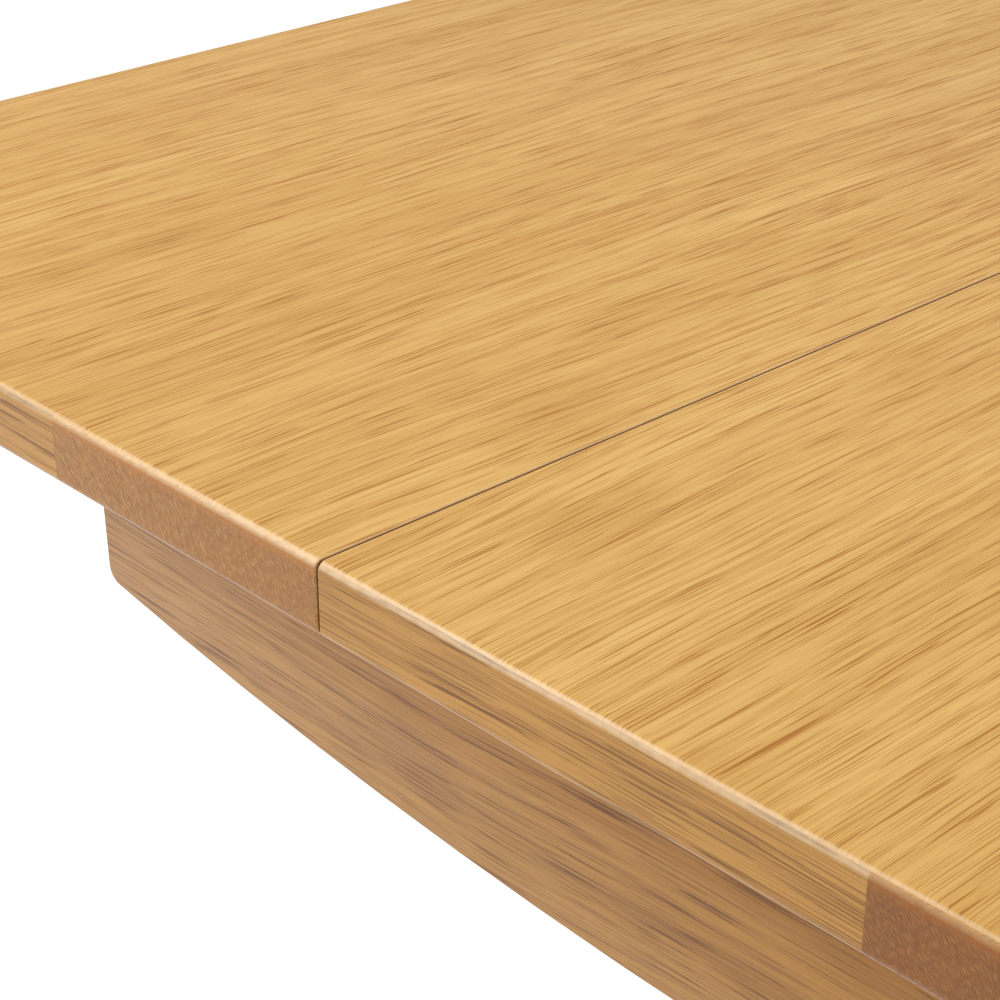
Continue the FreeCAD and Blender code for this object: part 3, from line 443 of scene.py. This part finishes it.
def oak(name, grain, pith, tone=PLAIN_TONE, figured=1.0, ring_mm=3.4, colours=HONEY, rough=0.40,
        pores=1.0, burnt_from=None, shade_from=None, filled_rim=False, painted_rim_light=0.0):
    """Lacquered oak with its grain along one axis, cut from a log whose pith is at (x, z) mm."""
    recipe = Recipe(name)
    where = recipe.add("ShaderNodeTexCoord")
    spot, normal = where.outputs["Object"], where.outputs["Normal"]
    place, in_log = log_places(recipe, spot, grain, pith, figured)
    figure = wood_figure(recipe, place, in_log, ring_mm)
    if filled_rim:
        fill_rim(recipe, figure, normal)

    grain_normal = recipe.add("ShaderNodeMapping", {"vector_type": "VECTOR"}, Vector=normal,
                              Rotation=GRAIN_TURN[grain]).outputs[0]
    cut_across = recipe.fade(recipe.sum("ABSOLUTE", recipe.part(grain_normal, 1)), 0.66, 0.90)
    colour = recipe.mix(cut_across, face_colour(recipe, figure, colours, figured, pores),
                        cut_colour(recipe, figure, colours, recipe.part(spot, 2), burnt_from))
    # Painted highlight on the upper rounded rim.
    if painted_rim_light:
        colour = paint_rim_highlight(recipe, colour, place, recipe.part(normal, 2), painted_rim_light)
    # Painted shade on the faces in the seam slit.
    colour = paint_seam_shade(recipe, colour, recipe.part(spot, 0), recipe.part(normal, 0))
    # Painted shade on a side rail, below the overhanging top.
    if shade_from is not None:
        colour = paint_shade_below(recipe, colour, recipe.part(spot, 2), shade_from)
    colour = recipe.mix(1.0, colour, tone, "MULTIPLY")

    hollow = recipe.sum("SUBTRACT", recipe.sum("MULTIPLY", figure["fibres"], 0.25),
                        recipe.sum("MULTIPLY", figure["pores"], 0.75))
    recipe.bump(hollow, 0.30, PORE_DEPTH_MM)
    recipe.feed(recipe.shader.inputs["Base Color"], colour)
    recipe.feed(recipe.shader.inputs["Roughness"],
                recipe.fade(figure["pores"], 0.0, 1.0, rough, rough + 0.2))
    for socket, value in SATIN.items():
        recipe.shader.inputs[socket].default_value = value
    return recipe.material


print("lacquer:", SATIN)

# %% [markdown]
# ## Metal, plastic and felt
#
# The hardware is small and mostly underneath, but a table gets turned over in the shop. Zinc plate
# has a faint crystal mottle, turned brass has rings, nylon is matt and slightly scuffed, and felt is
# a mat of short fibres, so each gets its own fine noise.

# %% Small finishes
def plain_finish(name, first, second, size_mm, rough, metallic, bump_mm):
    """A finish of two close colours in fine noise, with roughness and bump from the same noise."""
    recipe = Recipe(name)
    place = recipe.vector("SCALE", recipe.add("ShaderNodeTexCoord").outputs["Object"])
    place.node.inputs["Scale"].default_value = 1 / MM
    grain = recipe.noise(place, (1 / size_mm,) * 3, 4.0, 0.6)
    broad = recipe.noise(place, (0.12 / size_mm,) * 3, 2.0)
    colour = recipe.mix(recipe.fade(grain, 0.35, 0.65), first, second)
    colour = recipe.mix(recipe.fade(broad, 0.4, 0.7, 0.0, 0.3), colour, second)
    recipe.bump(grain, 0.4, bump_mm)
    recipe.feed(recipe.shader.inputs["Base Color"], colour)
    recipe.feed(recipe.shader.inputs["Roughness"], recipe.fade(broad, 0.3, 0.7, rough, rough + 0.15))
    recipe.shader.inputs["Metallic"].default_value = metallic
    return recipe.material


zinc = plain_finish("zinc_plate", (0.58, 0.58, 0.56), (0.46, 0.47, 0.48),
                    size_mm=1.6, rough=0.28, metallic=1.0, bump_mm=0.02)
brass = plain_finish("turned_brass", (0.70, 0.48, 0.20), (0.60, 0.40, 0.16),
                     size_mm=0.8, rough=0.25, metallic=1.0, bump_mm=0.01)
nylon = plain_finish("black_nylon", (0.030, 0.030, 0.032), (0.050, 0.050, 0.050),
                     size_mm=0.7, rough=0.50, metallic=0.0, bump_mm=0.03)
felt = plain_finish("brown_felt", (0.150, 0.105, 0.070), (0.240, 0.180, 0.125),
                    size_mm=0.35, rough=0.85, metallic=0.0, bump_mm=0.25)
paper = plain_finish("studio_paper", (0.20, 0.20, 0.20), (0.19, 0.19, 0.19),
                     size_mm=30.0, rough=0.80, metallic=0.0, bump_mm=0.01)
paper_shader = paper.node_tree.nodes["Principled BSDF"]
paper_shader.inputs["Emission Color"].default_value = (1, 1, 1, 1)
paper_shader.inputs["Emission Strength"].default_value = 0.95
floor.data.materials.append(paper)
print("small finishes:", ", ".join(finish.name for finish in (zinc, brass, nylon, felt, paper)))

# %% [markdown]
# ## Tools for the small pieces
#
# The packed shapes are right but plain, so the hardware and the sawn boards are made again in finer
# form. Small turned pieces can be spun from a profile or drawn out ring by ring from a disc. The
# second way is used, because each ring is then one line to read. Everything is modelled in
# millimetres, shrunk to metres at the end, and set in the box of the solid that it stands for.

# %% Drawing out a turned piece
def only(piece):
    """Select one object and nothing else."""
    bpy.ops.object.select_all(action="DESELECT")
    piece.select_set(True)
    bpy.context.view_layer.objects.active = piece


def turned(name, rings, sides=32):
    """A closed round piece about Z, drawn out of a disc through rings of (radius, height)."""
    radius, level = rings[0]
    bpy.ops.object.select_all(action="DESELECT")
    bpy.ops.mesh.primitive_circle_add(vertices=sides, radius=radius, fill_type="NGON")
    piece = bpy.context.object
    piece.name = name
    bpy.ops.object.mode_set(mode="EDIT")
    bpy.ops.mesh.select_all(action="SELECT")
    bpy.ops.transform.translate(value=(0, 0, level))
    for wide, high in rings[1:]:
        bpy.ops.mesh.extrude_region_move(TRANSFORM_OT_translate={"value": (0, 0, high - level)})
        bpy.ops.transform.resize(value=(wide / radius, wide / radius, 1), center_override=(0, 0, high))
        radius, level = wide, high
    bpy.ops.mesh.select_all(action="SELECT")
    bpy.ops.mesh.normals_make_consistent(inside=False)
    bpy.ops.object.mode_set(mode="OBJECT")
    print(name, "is drawn out through", len(rings), "rings")
    return piece


# %% [markdown]
# ## Cutting slots and sockets
#
# A slot could be an inset and pushed-in face, but it would have to follow the head's own faces. A
# cutter taken away from the piece leaves clean walls wherever it passes.

# %% Cutters
def bite(piece, cutter):
    """Cut one object's shape out of a piece."""
    only(piece)
    tool = piece.modifiers.new("bite", "BOOLEAN")
    tool.operation = "DIFFERENCE"
    tool.solver = "EXACT"
    tool.object = cutter
    bpy.ops.object.modifier_apply(modifier=tool.name)
    bpy.data.objects.remove(cutter)


def bar_cutter(size, place):
    """A box to cut with, between its own faces."""
    bpy.ops.object.select_all(action="DESELECT")
    bpy.ops.mesh.primitive_cube_add(size=1, location=place)
    cutter = bpy.context.object
    cutter.scale = size
    bpy.ops.object.transform_apply(location=True, rotation=True, scale=True)
    return cutter


def cross_recess(piece, top, wide, reach, deep):
    """The crossed slots for a driver in a screw's head."""
    bite(piece, bar_cutter((reach, wide, 2 * deep), (0, 0, top)))
    bite(piece, bar_cutter((wide, reach, 2 * deep), (0, 0, top)))


print("cutting tools:", ", ".join(tool.__name__ for tool in (bite, bar_cutter, cross_recess)))

# %% [markdown]
# ## Where each solid lies
#
# One node can hold several bolts or screws. Their places could be typed in, but they would be wrong
# as soon as the design changed. They are found instead by walking from vertex to vertex of the
# packed mesh, which stays as it is: only a merged copy is read.

# %% Boxes of the solids in a node
def solid_boxes(node):
    """The lowest and highest corner of each separate solid of a node."""
    mesh = bmesh.new()
    mesh.from_mesh(nodes[node].data)
    bmesh.ops.remove_doubles(mesh, verts=mesh.verts, dist=1e-6)
    waiting, boxes = set(mesh.verts), []
    while waiting:
        ahead, found = [waiting.pop()], []
        while ahead:
            vertex = ahead.pop()
            found.append(vertex.co.copy())
            for edge in vertex.link_edges:
                other = edge.other_vert(vertex)
                if other in waiting:
                    waiting.discard(other)
                    ahead.append(other)
        boxes.append((Vector(min(co[i] for co in found) for i in range(3)),
                      Vector(max(co[i] for co in found) for i in range(3))))
    mesh.free()
    return sorted(boxes, key=lambda box: tuple(round(value, 5) for value in box[0]))


def middle(box):
    return (box[0] + box[1]) / 2


def foot(box):
    """The middle of a box's underside."""
    return Vector((middle(box).x, middle(box).y, box[0].z))


print({node: len(solid_boxes(node)) for node in ("stretcher_bolts", "frame_screws", "leaf_pins")})

# %% [markdown]
# ## Handing a piece over
#
# A finished piece has to move with its body and take its node's place, or it would hang in the air
# when the table is worked. Copies could share one mesh, but each has its own, because its place is
# kept in the mesh and its object stays at the origin.

# %% Repeat and keep
MADE = []          # every new piece, with the node that it stands for
UPRIGHT = Matrix.Identity(3)
SMOOTH_BELOW = math.radians(35)


def repeat(piece, node, places):
    """Copies of a piece in millimetres, each with its own mesh, set by (turn, place in metres)."""
    for count, (turn, place) in enumerate(places):
        copy = piece.copy()
        copy.data = piece.data.copy()
        copy.name = f"{piece.name}_{count + 1}"
        scene.collection.objects.link(copy)
        copy.data.transform(Matrix.Translation(place) @ turn.to_4x4() @ Matrix.Scale(MM, 4))
        keep(copy, node)
    bpy.data.objects.remove(piece)


def keep(piece, node):
    """Shade a finished piece, and let it stand for a node on the node's body."""
    only(piece)
    bpy.ops.object.shade_smooth_by_angle(angle=SMOOTH_BELOW)
    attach(piece, BODY_OF[node])
    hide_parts(node)
    MADE.append((piece, node))


print("edges under", round(math.degrees(SMOOTH_BELOW)), "degrees are shaded smooth")

# %% [markdown]
# ## Stretcher bolts
#
# Each bolt goes through two posts and the stretcher between them. It could show a plain hexagon, but
# furniture bolts have a low button head with a hexagon socket, and a cap nut on the far side.

# %% Button heads and cap nuts
CAP_NUT = ((2.4, 0), (5.4, 0.7), (7.6, 2.0), (8.6, 3.4), (9, 4.2), (9, 5), (4, 5))
BUTTON_HEAD = ((4, 5), (9, 5), (9, 3.2), (8.5, 1.6), (7.4, 0.5), (6.2, 0))
SOCKET_RADIUS = 3.5
SOCKET_DEPTH = 3

bolt_boxes = solid_boxes("stretcher_bolts")
half_bolt = (bolt_boxes[0][1].y - bolt_boxes[0][0].y) / 2 / MM
bolt = turned("stretcher_bolt", [(radius, inward - half_bolt) for radius, inward in CAP_NUT]
              + [(radius, half_bolt - inward) for radius, inward in BUTTON_HEAD], sides=36)
bpy.ops.object.select_all(action="DESELECT")
bpy.ops.mesh.primitive_cylinder_add(vertices=6, radius=SOCKET_RADIUS, depth=2 * SOCKET_DEPTH,
                                    location=(0, 0, half_bolt))
bite(bolt, bpy.context.object)
to_front = Matrix.Rotation(math.pi / 2, 3, "X")
repeat(bolt, "stretcher_bolts", [(to_front, middle(box)) for box in bolt_boxes])
print(len(bolt_boxes), "bolts")

# %% [markdown]
# ## Wood screws
#
# The keepers, brackets and runners are held by pan-head screws. A screw could be left a plain peg, as
# its shank is in the wood, but its head shows, with crossed slots and a softened rim.

# %% Pan heads with crossed slots
SHANK_RADIUS = 2
HEAD_RADIUS = 4
HEAD_HEIGHT = 2.6


def pan_screw(name, length):
    """A screw about Z: its tip at 0, and the top of its head at its length."""
    point = [(0.3, 0), (0.8 * SHANK_RADIUS, 3.0), (SHANK_RADIUS, 4.5)]
    head = [(share * HEAD_RADIUS, length - below * HEAD_HEIGHT)
            for share, below in ((1, 1), (1, 0.6), (0.93, 0.25), (0.72, 0))]
    screw = turned(name, point + [(SHANK_RADIUS, length - HEAD_HEIGHT)] + head, sides=28)
    cross_recess(screw, length, wide=0.22 * HEAD_RADIUS, reach=1.15 * HEAD_RADIUS,
                 deep=0.6 * HEAD_HEIGHT)
    return screw


def screw_places(node):
    """How each screw of a node is turned, and where its tip is. It points away from the middle."""
    for low, high in solid_boxes(node):
        size = high - low
        axis = max(range(3), key=lambda index: size[index])
        centre = (low + high) / 2
        down_into = -1 if axis == 2 and node == "frame_screws" else 1
        way = down_into if axis == 2 else math.copysign(1, centre[axis])
        tip = centre.copy()
        tip[axis] = high[axis] if way > 0 else low[axis]
        head_way = Vector((0, 0, 0))
        head_way[axis] = -way
        yield Vector((0, 0, 1)).rotation_difference(head_way).to_matrix(), tip, size[axis] / MM


for node in ("frame_screws", "runner_screws"):
    by_length = {}
    for turn, tip, length in screw_places(node):
        by_length.setdefault(round(length, 2), []).append((turn, tip))
    for count, (length, places) in enumerate(sorted(by_length.items())):
        repeat(pan_screw(f"{node}_{count + 1}", length), node, places)
    print(node, {length: len(places) for length, places in by_length.items()})

# %% [markdown]
# ## Turn buttons and their pivots
#
# Two steel bars under the seam hold leaf and main top together. They are pressed from strip, so the
# rims are softened and the toe has a dimple that stiffens it and gives the thumb a hold.

# %% Pressed bars
BUTTON_RADIUS = 11
HOLE_RADIUS = 2.55
RIM_ROLL = 0.7
DIMPLE_RADIUS = 12
DIMPLE_DEPTH = 1.1

for edge in ("front", "back"):
    node = f"{edge}_turn_button"
    low, high = (corner / MM for corner in map(Vector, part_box(node)))
    heel = Vector((high.x - BUTTON_RADIUS, (low.y + high.y) / 2, low.z))
    run = high.x - low.x - 2 * BUTTON_RADIUS
    bar = turned(f"{node}_bar", [(BUTTON_RADIUS, 0), (BUTTON_RADIUS, high.z - low.z)], sides=48)
    bpy.ops.object.mode_set(mode="EDIT")
    bpy.ops.mesh.select_all(action="DESELECT")
    bpy.ops.object.mode_set(mode="OBJECT")
    for vertex in bar.data.vertices:
        vertex.select = vertex.co.x < -0.01
    bpy.ops.object.mode_set(mode="EDIT")
    bpy.ops.transform.translate(value=(-run, 0, 0))
    bpy.ops.object.mode_set(mode="OBJECT")
    rim = bar.modifiers.new("rim", "BEVEL")
    rim.width, rim.segments, rim.angle_limit = RIM_ROLL, 3, math.radians(60)
    bpy.ops.object.modifier_apply(modifier=rim.name)
    bpy.ops.object.select_all(action="DESELECT")
    bpy.ops.mesh.primitive_cylinder_add(vertices=32, radius=HOLE_RADIUS, depth=20)
    bite(bar, bpy.context.object)
    bpy.ops.object.select_all(action="DESELECT")
    bpy.ops.mesh.primitive_uv_sphere_add(segments=32, ring_count=24, radius=DIMPLE_RADIUS,
                                         location=(-run, 0, DIMPLE_DEPTH - DIMPLE_RADIUS))
    bite(bar, bpy.context.object)
    repeat(bar, node, [(UPRIGHT, heel * MM)])
    print(node, "reaches", round(run + 2 * BUTTON_RADIUS, 1), "mm")

# %% [markdown]
# Each bar turns on a shouldered screw. A plain screw would pinch the bar, so the shoulder stands a
# little proud of it, with the head below and a collar above that keeps the bar off the wood.

# %% Shouldered screws
PIVOT_HEAD = [(4.0, 0), (5.1, 0.6), (5.5, 1.5), (5.5, 2.6)]
PIVOT_SHOULDER = [(2.5, 2.6), (2.5, 6.7)]
PIVOT_COLLAR = [(5.5, 6.7), (5.5, 7.25), (2.5, 7.25)]
PIVOT_POINT = 3

pivot_boxes = solid_boxes("button_pivots")
pivot_high = (pivot_boxes[0][1].z - pivot_boxes[0][0].z) / MM
head_drop = (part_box("front_turn_button")[0][2] - pivot_boxes[0][0].z) / MM
pivot = turned("button_pivot", PIVOT_HEAD + PIVOT_SHOULDER + PIVOT_COLLAR
               + [(2.5, pivot_high - PIVOT_POINT), (0.4, pivot_high)])
cross_recess(pivot, 0, wide=1.2, reach=6.2, deep=1.5)
repeat(pivot, "button_pivots", [(UPRIGHT, foot(box)) for box in pivot_boxes])
print(len(pivot_boxes), "pivots, heads", round(head_drop, 2), "mm under the buttons")

# %% [markdown]
# ## Pins and glides
#
# The leaf's pins have a rounded lead so that they find their bushes, and the loper's stop pins are
# lightly chamfered. The glides under the feet are turned nylon with a sunk nail in the middle.

# %% Leaf pins, stop pins and glides
TAIL_CHAMFER = 0.6
PINS = {         # radius, height of the lead, radius of the tip
    "leaf_pins": (4, 2.4, 2.2),
    "front_loper_stop_pin": (3, 0.8, 2.5),
    "back_loper_stop_pin": (3, 0.8, 2.5),
}
GLIDE_RINGS = [(2.6, 1.9), (3.2, 1.2), (4.6, 0.5), (5.4, 0), (12.2, 0), (13.5, 0.7), (14, 1.9),
               (14, 4.4), (13.4, 5)]

for node, (radius, lead, tip) in PINS.items():
    boxes = solid_boxes(node)
    high = (boxes[0][1].z - boxes[0][0].z) / MM
    rings = [(tip, 0), (0.93 * radius, 0.4 * lead), (radius, lead), (radius, high - TAIL_CHAMFER),
             (radius - TAIL_CHAMFER, high)]
    repeat(turned(f"{node}_turned", rings), node, [(UPRIGHT, foot(box)) for box in boxes])

repeat(turned("floor_glide", GLIDE_RINGS, sides=40), "floor_glides",
       [(UPRIGHT, foot(box)) for box in solid_boxes("floor_glides")])
print(len(MADE), "small pieces so far")

# %% [markdown]
# ## Sawn boards and pressed steel with softened edges
#
# Nothing from a workshop has a knife edge: boards are run over with abrasive, and pressed steel has a
# small roll. A true round could be modelled on each edge, but one narrow bevel on a merged copy
# catches the light in the same way and keeps every hole and groove where it was.

# %% Eased copies
EASED_MM = {
    "left_cross_bearer": 1.5, "right_cross_bearer": 1.5, "left_end_rail": 1.2, "right_end_rail": 1.2,
    "front_guide_beam": 0.6, "back_guide_beam": 0.6, "front_top_runner": 0.8, "back_top_runner": 0.8,
    "corner_blocks": 1.0, "front_side_rail": 0.8, "back_side_rail": 0.8, "bearer_brackets": 0.4,
    "loper_keepers": 0.35, "pin_bushes": 0.25, "glide_strips": 0.2, "front_loper_pad": 0.8,
    "back_loper_pad": 0.8,
}


def eased_copy(node, width):
    """A merged copy of a node with its sharp edges bevelled."""
    piece = nodes[node].copy()
    piece.data = nodes[node].data.copy()
    piece.name = f"{node}_eased"
    piece.parent = None
    scene.collection.objects.link(piece)
    only(piece)
    bpy.ops.mesh.customdata_custom_splitnormals_clear()
    bpy.ops.object.mode_set(mode="EDIT")
    bpy.ops.mesh.select_all(action="SELECT")
    bpy.ops.mesh.remove_doubles(threshold=1e-6)
    bpy.ops.mesh.dissolve_limited(angle_limit=math.radians(0.5))
    bpy.ops.mesh.normals_make_consistent(inside=False)
    bpy.ops.object.mode_set(mode="OBJECT")
    roll = piece.modifiers.new("roll", "BEVEL")
    roll.width, roll.segments = width * MM, 2
    roll.limit_method, roll.angle_limit = "ANGLE", math.radians(40)
    bpy.ops.object.modifier_apply(modifier=roll.name)
    keep(piece, node)


for node, width in EASED_MM.items():
    eased_copy(node, width)
print(len(EASED_MM), "nodes are shown by eased copies")

# %% [markdown]
# ## Closed and whole
#
# A piece with a hole in its skin would shade wrongly and could not be made. It could be looked for by
# eye, but counting the edges that don't have exactly two faces finds every one.

# %% Count open edges
def open_edges(piece):
    """How many edges don't have exactly two faces, which is none on a closed piece."""
    mesh = bmesh.new()
    mesh.from_mesh(piece.data)
    count = sum(1 for edge in mesh.edges if len(edge.link_faces) != 2)
    mesh.free()
    return count


print("open edges:", {piece.name: open_edges(piece) for piece, _ in MADE if open_edges(piece)})
print("faces:", sum(len(piece.data.polygons) for piece, _ in MADE))

# %% [markdown]
# ## Three more woods
#
# The one recipe makes other timber from other colours. What slides under the top is beech, pinker
# and plainer than oak. The frame and the lippings get a darker copy of oak's colours, painted shade
# for faces that are upright or under the top. One batten is from a browner plank, and the side
# rails are darker again, partly their own duller tone and partly painted shade.

# %% Colours of beech, and of oak with painted shade
BEECH = {
    "pale": (0.690, 0.470, 0.285),
    "deep": (0.600, 0.380, 0.215),
    "pore": (0.430, 0.240, 0.120),
    "cross": (0.520, 0.330, 0.190),
    "burnt": (0.560, 0.340, 0.180),
}
# Oak's colours darkened as painted shade, for the lippings and the frame.
SHADED = {
    "pale": (0.480, 0.240, 0.044),
    "deep": (0.310, 0.128, 0.015),
    "pore": (0.125, 0.042, 0.005),
    "cross": (0.220, 0.090, 0.016),
    "burnt": (0.300, 0.105, 0.012),
}
BATTEN_TONE = {"main_left_batten": (0.72, 0.60, 0.42)}
# The side rails' own duller tone together with painted shade under the top.
RAIL_TONE_AND_SHADE = (0.90, 0.83, 0.42)
print("toned pieces:", ", ".join(BATTEN_TONE), "and both side rails")

# %% [markdown]
# ## Which board is cut how
#
# A joiner chooses each board for its place. The face veneers were laid with their grain across the
# table, in leaves from one flitch, so they are calm: the pith is far away. Lippings have their grain
# along the edge that they protect. Staves and battens run across, so their cut ends show at the long
# edges. The frame is solid oak with the grain along each member.

# %% Choose a finish for each node
SMALL_FINISH = {"zinc_steel": zinc, "brass_bush": brass, "black_nylon": nylon, "felt_pad": felt}
VENEER_PITH = (-2600, -240)
FAR_PITH = 560
BURNT_BAND = 5.8 * MM
# How strong the painted highlight on the upper rim is.
RIM_HIGHLIGHT_AMOUNT = 0.36


def grain_of(node):
    """The axis that a wooden piece's grain follows."""
    if "post" in node:
        return "z"
    if "face_lipping" in node or "foot" in node or "bearer" in node or "end_rail" in node:
        return "y"
    if any(word in node for word in ("lipping", "rail", "beam", "runner", "loper", "stretcher")):
        return "x"
    return "y"


def finish_of(node):
    """The material of a node, from its slot and its name."""
    slot, grain = SLOT_OF[node], grain_of(node)
    if slot in SMALL_FINISH:
        return SMALL_FINISH[slot]
    if slot == "beech":
        return oak(f"{node}_beech", "x", (dice.uniform(30, 60), -90), figured=0.4, ring_mm=5.0,
                   colours=BEECH, rough=0.5, pores=0.4)
    if slot in ("oak_veneer", "oak_backing"):
        return oak(f"{node}_oak", "y", VENEER_PITH, filled_rim=True, painted_rim_light=RIM_HIGHLIGHT_AMOUNT)
    if slot == "oak_end_grain":
        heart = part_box(node)[0][0] / MM + dice.choice((-130, -90, 170, 210))
        return oak(f"{node}_oak", "y", (heart, FAR_PITH), BATTEN_TONE.get(node, PLAIN_TONE),
                   figured=0.5, ring_mm=2.6, burnt_from=top_high - BURNT_BAND, painted_rim_light=RIM_HIGHLIGHT_AMOUNT)
    # Lippings along X take the darker colours, painted shade on the front faces.
    if slot == "oak_edge" and grain == "x":
        return oak(f"{node}_oak", "x", (dice.uniform(300, 360), FAR_PITH), figured=0.6, ring_mm=2.8,
                   colours=SHADED, painted_rim_light=RIM_HIGHLIGHT_AMOUNT)
    # The frame takes the darker colours too, as painted shade, and the side rails more under the top.
    side_rail = node.endswith("side_rail")
    return oak(f"{node}_oak", grain, (dice.uniform(240, 300), dice.uniform(-160, -80)),
               RAIL_TONE_AND_SHADE if side_rail else PLAIN_TONE, figured=1.3, ring_mm=3.2, colours=SHADED,
               shade_from=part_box(node)[1][2] if side_rail else None)


print("grain:", {axis: sum(grain_of(node) == axis for node in nodes) for axis in "xyz"})

# %% [markdown]
# ## Finish every piece
#
# The nodes are finished in the order of their names, so that each board gets the same luck from the
# dice each time. A new piece then takes the finish of the node that it stands for.

# %% Put the finishes on
for node in sorted(nodes):
    finish = finish_of(node)
    nodes[node].data.materials.clear()
    nodes[node].data.materials.append(finish)
for piece, node in MADE:
    piece.data.materials.clear()
    piece.data.materials.append(nodes[node].data.materials[0])
print("finishes:", len(bpy.data.materials))

# %% [markdown]
# ## Close the lesson
